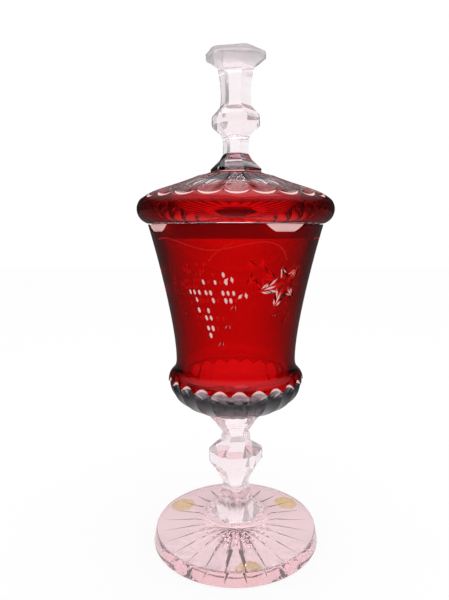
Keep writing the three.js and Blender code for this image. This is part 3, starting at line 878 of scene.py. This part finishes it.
def panel_cutter():
    """What the panels round the bottom of the bowl leave: round flutes, each with an arched top."""
    depth = PANEL_RIDGE_DEPTH + bpy.context.scene.goblet_sizes.panel_depth / MM
    stop = PANEL_RIDGE_TOP - PANEL_RIDGE_RUN_OUT
    ridge = panel_outline(PANEL_RIDGE_DEPTH, stop, PANEL_RIDGE_TOP)
    flute = panel_outline(depth, PANEL_TOP - PANEL_RUN_OUT, PANEL_TOP)
    end = len(ridge) - 5  # the stretch that runs out, and the corner where it starts
    arched = (end + 1, end + 2)

    def sunk(row, across):
        if row in arched:
            return max(0, 1 - (across / PANEL_ARCH) ** 2)
        return round_flute(row, across)

    panels = fluted("panels", ridge, flute, PANELS, PANEL_TURN, BOWL_LEVEL, sunk)
    rows = range(len(ridge) - 1)
    return marked(panels, *(FACET if row == end else POLISHED for row in rows))


def slab(place, half):
    """A tool as a cube of a half size."""
    corners = [(x, y, z) for z in (-1, 1) for y in (-1, 1) for x in (-1, 1)]
    faces = [[0, 2, 3, 1], [4, 5, 7, 6], [0, 1, 5, 4], [2, 6, 7, 3], [0, 4, 6, 2], [1, 3, 7, 5]]
    shape = place @ Matrix.Diagonal((half, half, half, 1))
    return [tuple(shape @ Vector(v)) for v in corners], faces


def window_cuts():
    """Four flats at the lip, ground through both glasses."""
    blocks = []
    bottom = BOWL_HEIGHT - WINDOW_BOTTOM
    flat = bowl_radius(bottom)[0] - WINDOW_DEPTH
    half = LIP_RADIUS / 2
    for i in range(WINDOWS):
        turn = WINDOW_TURN + 360 / WINDOWS * i
        place = Matrix.Translation(around(flat + half, turn, bottom + half))
        place = place @ Matrix.Rotation(math.radians(turn), 4, "Z")
        blocks.append(slab(place, half))
    return assembled("windows", blocks)


def across_wall(turn, across, height):
    """The turn of a point so many millimetres to the right of another."""
    return turn + math.degrees(across / bowl_radius(height)[0])


def grape(turn, across, height, depth, half):
    """A tool for one oval grape, ground to a depth below the skin."""
    sunk = depth - GRAPE_WHEEL
    place = on_wall(across_wall(turn, across, height), height, sunk, GRAPE_LEAN + 90)
    return bead(place, (half * GRAPE_STRETCH, half, GRAPE_WHEEL))


def bunch_cuts(turn, chance):
    """One bunch: clusters of small oval grapes, most ground through the ruby, some not quite."""
    cuts = []
    for row, count in enumerate(BUNCH_ROWS):
        for i in range(count):
            middle = (i - (count - 1) / 2) * CLUSTER_PITCH
            height = BUNCH_TOP - row * CLUSTER_ROW_PITCH
            for up in (0.5, -0.5):
                for side in (-1, 0, 1):
                    if chance.random() < GRAPES_LEFT_OUT:
                        continue
                    across = middle + (side - up * GRAPE_STAGGER) * GRAPE_PITCH
                    across += chance.uniform(-GRAPE_STRAY, GRAPE_STRAY)
                    depth = chance.choice(GRAPE_DEPTHS)
                    half = chance.uniform(*GRAPE_HALF_WIDTHS)
                    cuts.append(grape(turn, across, height + up * GRAPE_ROW_PITCH, depth, half))
    return cuts


def paired_cuts(turn, places, leans, drift, size):
    """Pairs of pointed strokes beside the bunch, as small leaves or as fine tendrils."""
    cuts = []
    for across, height in places:
        for lean, lift in leans:
            aside = across_wall(turn, across + lean * drift, height)
            cuts.append(mitre(on_wall(aside, height + lift, 0, lean + 90), *size))
    return cuts


def lobe_place(turn, lean, reach, aside, spin=0):
    """A place on a leaf: how far from its heart along a leaning lobe, and beside its middle."""
    a = math.radians(lean)
    across = -math.sin(a) * reach + math.cos(a) * aside
    height = LEAF_HEIGHT + math.cos(a) * reach + math.sin(a) * aside
    return on_wall(across_wall(turn, across, height), height, 0, lean + 90 + spin)


def lobe_cuts(turn):
    """The lobes of one leaf, shallow hollows that follow the wall."""
    cuts = []
    for lean, start, long, wide in LEAF_LOBES:
        size = (long / 2, wide * LOBE_WIDTH, LOBE_DEPTH)
        corners, faces = bead(Matrix.Identity(4), size, 1, 8, 8)
        middle = start + long / 2
        laid = [
            tuple(lobe_place(turn, lean, middle + x, -y) @ Vector((0, 0, z))) for x, y, z in corners
        ]
        cuts.append((laid, faces))
    return cuts


def leaf_strokes(turn, places):
    """Strokes of a leaf's lobes: along the middle vein of each, or slanting away from it."""
    cuts = []
    for lean, start, long, wide in LEAF_LOBES:
        for side, along in places:
            slant = side * LEAF_SLANT
            half = long * (STROKE_LENGTH - STROKE_TAPER * along) if side else long / 2
            reach = start + long * along + half * math.cos(math.radians(slant))
            place = lobe_place(turn, lean, reach, half * math.sin(math.radians(slant)), slant)
            cuts.append(mitre(place, half, wide / 2, STROKE_DEPTH))
    return cuts


def vine_cut(turn, curves):
    """A soft shallow groove within the ruby, that winds over a bunch or down to its leaf."""
    depth = bpy.context.scene.goblet_sizes.vine_depth / MM
    path = joined(*(bezier(curve, VINE_STEPS) for curve in curves))
    last = len(path) - 1
    vertices, faces = [], []
    for i, (aside, height) in enumerate(path):
        share = min(1, VINE_START + min(i, last - i) / VINE_RUN_OUT)
        place = on_wall(turn + aside, height, depth * share - VINE_RADIUS)
        ahead = Vector(path[min(i + 1, last)]) - Vector(path[max(i - 1, 0)])
        slope = math.atan2(ahead.y, ahead.x * math.radians(1) * bowl_radius(height)[0])
        place = place @ Matrix.Rotation(slope, 4, "Z")
        for k in range(VINE_SIDES):
            a = 2 * math.pi * k / VINE_SIDES
            corner = Vector((0, VINE_RADIUS * math.cos(a), VINE_RADIUS * math.sin(a)))
            vertices.append(tuple(place @ corner))
    for i in range(last):
        below, above = i * VINE_SIDES, (i + 1) * VINE_SIDES
        for k in range(VINE_SIDES):
            n = (k + 1) % VINE_SIDES
            faces.append([below + n, above + n, above + k, below + k])
    faces.append(list(range(VINE_SIDES))[::-1])
    faces.append([last * VINE_SIDES + k for k in range(VINE_SIDES)])
    return vertices, faces


def decoration():
    """Fresh tools for the bowl's cuts: panels, windows, bunches, then the leaves and the vines."""
    chance = random.Random(SEED)
    turns = [BUNCH_TURN + 360 / MOTIFS * i for i in range(MOTIFS)]
    leaves = [turn + LEAF_TURN for turn in turns]
    grapes = [cut for turn in turns for cut in bunch_cuts(turn, chance)]
    pairs = []
    for turn in turns:
        pairs += paired_cuts(turn, *LEAFLETS) + paired_cuts(turn, *TENDRILS)
    lobes = [cut for turn in leaves for cut in lobe_cuts(turn)]
    tools = [(panel_cutter(), "INTERSECT", POLISHED), (window_cuts(), "DIFFERENCE", FACET)]
    for name, cuts in (("cuts", grapes), ("cuts", pairs), ("lobes", lobes)):
        tools.append((assembled(name, cuts), "DIFFERENCE", GROUND))
    for places in LEAF_PASSES:
        strokes = [cut for turn in leaves for cut in leaf_strokes(turn, places)]
        leaf = assembled("leaves", strokes)
        marks = [chance.choice((GROUND, GROUND, POLISHED)) for _ in strokes]
        tools.append((marked(leaf, *marks), "DIFFERENCE", GROUND))
    for curves in VINES:
        vines = assembled("vines", [vine_cut(turn, curves) for turn in turns])
        tools.append((vines, "DIFFERENCE", GROUND))
    return tools


def cut_decoration(target):
    for tool, operation, mark in decoration():
        carve(target, tool, operation, mark)


class GOBLET_OT_bowl(bpy.types.Operator):
    """The bowl, clear glass with its ruby overlay, cut through to the clear"""

    bl_idname = "goblet.bowl"
    bl_label = "Bowl"

    def execute(self, context):
        sizes = context.scene.goblet_sizes
        overlay, wall = sizes.overlay / MM, sizes.wall / MM
        inside = bowl_hollow(wall)[::-1]
        profile = joined([(0, 0)], *bowl_wall(overlay + BOND), inside)
        crystal = turned("bowl_clear", profile, level=BOWL_LEVEL)
        cut_decoration(crystal)
        polish(crystal, profile, BOWL_LEVEL)
        dress(crystal, crystal_glass, "goblet", "crystal", "bowl_crystal", cuts=CRYSTAL_CUTS)
        outside, back = (
            [p for p in joined(*bowl_wall(inset)) if p[1] >= PANEL_RIDGE_TOP / 2]
            for inset in (0, overlay)
        )
        profile = joined(outside, back[::-1])
        ruby = turned("bowl_overlay", profile, level=BOWL_LEVEL, loop=True)
        cut_decoration(ruby)
        polish(ruby, profile, BOWL_LEVEL, loop=True)
        dress(ruby, ruby_glass, "goblet", "ruby", "bowl_ruby")
        return {"FINISHED"}


# Cover

COVER_RADIUS, ROLL_RADIUS = LIP_RADIUS + 7.6, 10.3
ROLL_END = 45  # degrees up the roll, where the dome leaves it
ROLL_SHOULDER = 17.7  # how far the dome goes on straight there
DOME_TOP, DOME_TOP_RADIUS, CEILING = 35.6, 21, 28.5
FLANGE_DEPTH, FLANGE_THICKNESS, FLANGE_CLEARANCE, FLANGE_EDGE = 9, 5.5, 1, 1.2
OVERLAY_START, OVERLAY_END = 4, 6  # points up the roll, and up the dome
PETALS, PETAL_TURN, PETAL_INNER = 24, 0.6, 24
PETAL_RIDGE_END, PETAL_FLUTE_END = 45, 36  # degrees up the roll
PETAL_END = (3, 4, 5)  # the stretches of a petal's outline that end it
SEAT_STEEPNESS = 0.5  # a ground face of the seat rises less than this


def on_roll(degrees, inset=0):
    """A point of the rolled edge, drawn in by a distance."""
    a, roll = math.radians(degrees), ROLL_RADIUS - inset
    return (COVER_RADIUS - ROLL_RADIUS + roll * math.cos(a), ROLL_RADIUS + roll * math.sin(a))


def cover_skin(inset):
    """The cover from under its rolled edge to the top of the dome, drawn in by a distance."""
    middle = (COVER_RADIUS - ROLL_RADIUS, ROLL_RADIUS)
    edge = arc(middle, ROLL_RADIUS - inset, -90, ROLL_END, CURVE_STEPS * 2)
    a, leave = math.radians(ROLL_END), on_roll(ROLL_END, inset)
    shoulder = (leave[0] - ROLL_SHOULDER * math.sin(a), leave[1] + ROLL_SHOULDER * math.cos(a))
    return edge, bezier([leave, shoulder, (DOME_TOP_RADIUS, DOME_TOP - inset)], CURVE_STEPS)


def petal_outline(start, depth):
    """The outline that the petal cuts leave, from a place on the roll and sunk to a depth."""
    petal = [
        on_roll(start),
        (COVER_RADIUS * 0.85, DOME_TOP * 0.68 - depth),
        (COVER_RADIUS * 0.68, DOME_TOP * 0.7 - depth),
        (PETAL_INNER, DOME_TOP - 0.2 - depth * 0.4),
    ]
    clear, under, over = COVER_RADIUS + PAST, -4 * PAST, DOME_TOP + PAST
    below = [(0, under), (clear, under), (clear, ROLL_RADIUS), on_roll(start - 6, -1)]
    return [*below, *bezier(petal, steps=20)[1:], (PETAL_INNER - 1, over), (0, over)]


def petal_cutter():
    """What the petal flutes over the dome leave."""
    depth = bpy.context.scene.goblet_sizes.petal_depth / MM
    ridge, flute = petal_outline(PETAL_RIDGE_END, 0), petal_outline(PETAL_FLUTE_END, depth)
    petals = fluted("petals", ridge, flute, PETALS, PETAL_TURN, COVER_LEVEL)
    rows = range(len(ridge) - 1)
    return marked(petals, *(FACET if row in PETAL_END else POLISHED for row in rows))


def seat_ground(crystal, radius):
    """Marks as ground the seat that fits the bowl, outside a radius and under the rolled edge."""
    marked(crystal, BASE)
    for face in crystal.data.polygons:
        x, y, z = face.center / MM
        if z < COVER_LEVEL and math.hypot(x, y) > radius and face.normal.z < SEAT_STEEPNESS:
            face.material_index = GROUND


class GOBLET_OT_cover(bpy.types.Operator):
    """The cover, clear glass with ruby over its rolled edge, and petals cut over its dome"""

    bl_idname = "goblet.cover"
    bl_label = "Cover"

    def execute(self, context):
        sizes = context.scene.goblet_sizes
        overlay, wall = sizes.overlay / MM, sizes.wall / MM
        edge, dome = cover_skin(overlay + BOND)
        mouth = LIP_RADIUS - wall - FLANGE_CLEARANCE
        tip = bowl_radius(BOWL_HEIGHT - FLANGE_DEPTH)[0] - wall - FLANGE_CLEARANCE
        inside, low_edge = tip - FLANGE_THICKNESS, -FLANGE_DEPTH + FLANGE_EDGE
        ceiling = swept((inside, 0), (0, CEILING), (0, 0.75), (0.24, 1), steps=24)
        profile = joined(
            [(tip, low_edge), (mouth, 0), (COVER_RADIUS - ROLL_RADIUS, 0)],
            [p for p in edge if p[1] > 0],
            dome,
            [(DOME_TOP_RADIUS, DOME_TOP), (0, DOME_TOP)],
            ceiling[::-1],
            arc((inside + FLANGE_EDGE, low_edge), FLANGE_EDGE, 180, 270, 4),
            arc((tip - FLANGE_EDGE, low_edge), FLANGE_EDGE, -90, 0, 4),
        )[:-1]
        crystal = turned("cover_clear", profile, level=COVER_LEVEL, loop=True)
        seat_ground(crystal, tip - FLANGE_EDGE * 2)
        carve(crystal, petal_cutter(), "INTERSECT")
        polish(crystal, profile, COVER_LEVEL, loop=True)
        dress(crystal, crystal_glass, "cover", "crystal", "cover_crystal", cuts=CRYSTAL_CUTS)
        outside, back = (
            joined(roll[OVERLAY_START:], dome[:OVERLAY_END])
            for roll, dome in (cover_skin(0), cover_skin(overlay))
        )
        profile = joined(outside, back[::-1])
        ruby = turned("cover_overlay", profile, level=COVER_LEVEL, loop=True)
        carve(ruby, petal_cutter(), "INTERSECT")
        polish(ruby, profile, COVER_LEVEL, loop=True)
        dress(ruby, ruby_glass, "cover", "ruby", "cover_ruby")
        return {"FINISHED"}


# Finial

FINIAL_TURN = -11.5
FINIAL_NECK, FINIAL_KNOP, BUTTON_RADIUS = 9.3, 17.5, 21.5
FINIAL_SLOPE, BUTTON_SLOPE = FINIAL_KNOP * KNOP_OVERSIZE, BUTTON_RADIUS * KNOP_OVERSIZE

# Outlines, as the radius and height of their corners
FINIAL_COLLAR = ((0, 0), (18.6, 0), (18.6, 3.2), (11.8, 9.4))
FINIAL_FOOT = (
    (0, 0),
    (FINIAL_NECK, 0),
    (FINIAL_NECK, 9.7),
    (11.4, 13.8),
    (FINIAL_SLOPE, 19.3),
    (FINIAL_SLOPE, 24.8),
)
FINIAL_SHAFT = ((11.8, 31.8), (10.2, 34.8), (10.2, 46), (13, 58.2))
BUTTON_UNDER = ((13, 58.2), (16, 61.6), (BUTTON_SLOPE, 64.1))
BUTTON_SIDE, BUTTON_TOP_RADIUS = (BUTTON_SLOPE, 67.5), 13.3
FINIAL_BAND = (
    (0, -PAST),
    (FINIAL_KNOP, -PAST),
    (FINIAL_KNOP, 46),
    (BUTTON_RADIUS, 58.2),
    (BUTTON_RADIUS, 75),
    (0, 75),
)


class GOBLET_OT_finial(bpy.types.Operator):
    """The finial that the cover is lifted by, on its collar"""

    bl_idname = "goblet.finial"
    bl_label = "Finial"

    def execute(self, context):
        top = high("finial_collar") - FINIAL_COLLAR_LEVEL
        profile = [*FINIAL_COLLAR, (FINIAL_NECK, top), (0, top)]
        collar = six_sided("finial_base", profile, FINIAL_TURN, FINIAL_COLLAR_LEVEL)
        dress(collar, cut_crystal, "cover", "crystal", "finial_collar")
        top = high("finial") - FINIAL_LEVEL
        shaft, under = bezier(FINIAL_SHAFT, steps=14), bezier(BUTTON_UNDER, steps=6)
        button = [BUTTON_SIDE, (BUTTON_TOP_RADIUS, top), (0, top)]
        profile = joined(FINIAL_FOOT, shaft, under, button)
        finial = six_sided("finial_knob", profile, FINIAL_TURN, FINIAL_LEVEL, FINIAL_BAND)
        dress(finial, stem_crystal, "cover", "crystal", "finial")
        return {"FINISHED"}


# Stage

FLOOR_HALF = 3000
FLOOR_GLOW = 0.88  # share of the board's own white; the rest of it takes the shadow
DAYLIGHT = (1.0, 1.0, 1.02)  # a white with a little blue
# What a ray meets through the glass, mirrored outside it and mirrored within it: each is two
# stops, how far up the room or how many metres off on the floor, and how bright it is there
ROOM_LIGHT = (((0.55, 1.0), (0.95, 0.6)), ((0.4, 0.03), (0.75, 0.8)), ((0.25, 0.15), (0.5, 1.0)))
FLOOR_LIGHT = (((0.0, 1.0), (1.0, 1.0)), ((0.08, 0.8), (0.3, 0.03)), ((0.3, 1.0), (1.0, 0.3)))
SOFTBOX_PLACE, SOFTBOX_AIM, SOFTBOX_SIDE, SOFTBOX_POWER = (0.1, -0.1, 1.3), (0, 0, 0.2), 0.8, 3
CAMERA_PLACE, CAMERA_DOWN, CAMERA_LENS, CAMERA_SENSOR = (0, -0.3746, 0.2375), 7.74, 30.6, 36
CAMERA_SHIFT = -0.0187  # the goblet stands a little right of the middle


def seen_light(tree, value, lights):
    """White to the camera, and to a ray from the glass the light for its kind at a value."""
    through, near, within = (
        node(
            tree,
            "ValToRGB",
            {"stops": [(at, [level * share for share in DAYLIGHT]) for at, level in stops]},
            {"Fac": value},
        )
        for stops in lights
    )
    ray = node(tree, "LightPath")
    mirrored, inside = (
        node(tree, "Math", {"operation": "MINIMUM", 1: 1.0}, {0: ray.outputs[depth]})
        for depth in ("Glossy Depth", "Transmission Depth")
    )
    blend, white = {"data_type": "RGBA"}, (1, 1, 1, 1)
    room = node(tree, "Mix", blend, {0: inside, 6: near, 7: within})
    plain = node(tree, "Mix", {**blend, 6: white}, {0: inside, 7: through})
    seen = {0: mirrored, 6: plain.outputs[2], 7: room.outputs[2]}
    return node(tree, "Mix", blend, seen).outputs[2]


def pale_world():
    """A white studio. The glass mirrors the room beyond its sweep: dim, with a soft light above."""
    world = bpy.data.worlds.new("studio")
    bpy.context.scene.world = world
    world.use_nodes = True
    tree = world.node_tree
    tree.nodes.clear()
    place = node(tree, "TexCoord")
    way = node(tree, "SeparateXYZ", None, {"Vector": place.outputs["Generated"]})
    seen = seen_light(tree, way.outputs["Z"], ROOM_LIGHT)
    light = node(tree, "Background", {"Strength": 1.0}, {"Color": seen})
    node(tree, "OutputWorld", None, {"Surface": light})


def pale_floor(tree):
    """Matt white board. The camera, and the glass before it, see it at the white of the studio."""
    board = node(tree, "BsdfDiffuse", {"Color": (*bpy.context.scene.goblet_colours.floor, 1)})
    place = node(tree, "TexCoord").outputs["Object"]
    away = node(tree, "VectorMath", {"operation": "LENGTH"}, {0: place})
    white = seen_light(tree, away.outputs["Value"], FLOOR_LIGHT)
    glow = node(tree, "Emission", {"Strength": 1.0}, {"Color": white})
    ray = node(tree, "LightPath").outputs
    seen = ray["Is Camera Ray"]
    for kind in ("Is Glossy Ray", "Is Transmission Ray"):
        seen = node(tree, "Math", {"operation": "MAXIMUM"}, {0: seen, 1: ray[kind]})
    share = node(tree, "Math", {"operation": "MULTIPLY", 1: FLOOR_GLOW}, {0: seen})
    mix = node(tree, "MixShader", None, {"Fac": share, 1: board, 2: glow})
    return {"Surface": mix}


class GOBLET_OT_stage(bpy.types.Operator):
    """Floor, light and camera"""

    bl_idname = "goblet.stage"
    bl_label = "Stage"

    def execute(self, context):
        scene = context.scene
        scene.view_settings.view_transform = "Standard"
        pale_world()
        sides = ((-1, -1), (1, -1), (1, 1), (-1, 1))
        corners = [(FLOOR_HALF * x, FLOOR_HALF * y, 0) for x, y in sides]
        floor = piece("floor", corners, [[0, 1, 2, 3]])
        floor.data.materials.append(made_of(pale_floor))
        softbox = bpy.data.lights.new("softbox", "AREA")
        softbox.shape = "RECTANGLE"
        softbox.size = softbox.size_y = SOFTBOX_SIDE
        softbox.energy = SOFTBOX_POWER
        lamp = bpy.data.objects.new("softbox", softbox)
        lamp.location = SOFTBOX_PLACE
        ahead = Vector(SOFTBOX_AIM) - lamp.location
        lamp.rotation_euler = ahead.to_track_quat("-Z", "Y").to_euler()
        scene.collection.objects.link(lamp)
        lens = bpy.data.cameras.new("camera")
        lens.lens, lens.sensor_width, lens.shift_x = CAMERA_LENS, CAMERA_SENSOR, CAMERA_SHIFT
        camera = bpy.data.objects.new("camera", lens)
        camera.location = CAMERA_PLACE
        camera.rotation_euler = (math.radians(90 - CAMERA_DOWN), 0, 0)
        scene.collection.objects.link(camera)
        scene.camera = camera
        return {"FINISHED"}


class GOBLET_PT_panel(bpy.types.Panel):
    """Buttons that build the goblet"""

    bl_label = "Goblet"
    bl_space_type = "VIEW_3D"
    bl_region_type = "UI"
    bl_category = "Goblet"

    def draw(self, context):
        for settings in (context.scene.goblet_sizes, context.scene.goblet_colours):
            for name in settings.__annotations__:
                self.layout.prop(settings, name)
        for step in STEPS:
            self.layout.operator(step.bl_idname)


STEPS = (
    GOBLET_OT_stage,
    GOBLET_OT_pads,
    GOBLET_OT_foot,
    GOBLET_OT_stem,
    GOBLET_OT_bowl,
    GOBLET_OT_cover,
    GOBLET_OT_finial,
)
CLASSES = (GobletSizes, GobletColours, *STEPS, GOBLET_PT_panel)


def register():
    for made in CLASSES:
        bpy.utils.register_class(made)
    bpy.types.Scene.goblet_sizes = PointerProperty(type=GobletSizes)
    bpy.types.Scene.goblet_colours = PointerProperty(type=GobletColours)


def unregister():
    del bpy.types.Scene.goblet_colours
    del bpy.types.Scene.goblet_sizes
    for made in reversed(CLASSES):
        bpy.utils.unregister_class(made)


def main():
    register()
    for step in STEPS:
        group, name = step.bl_idname.split(".")
        getattr(getattr(bpy.ops, group), name)()


if __name__ == "__main__":
    main()
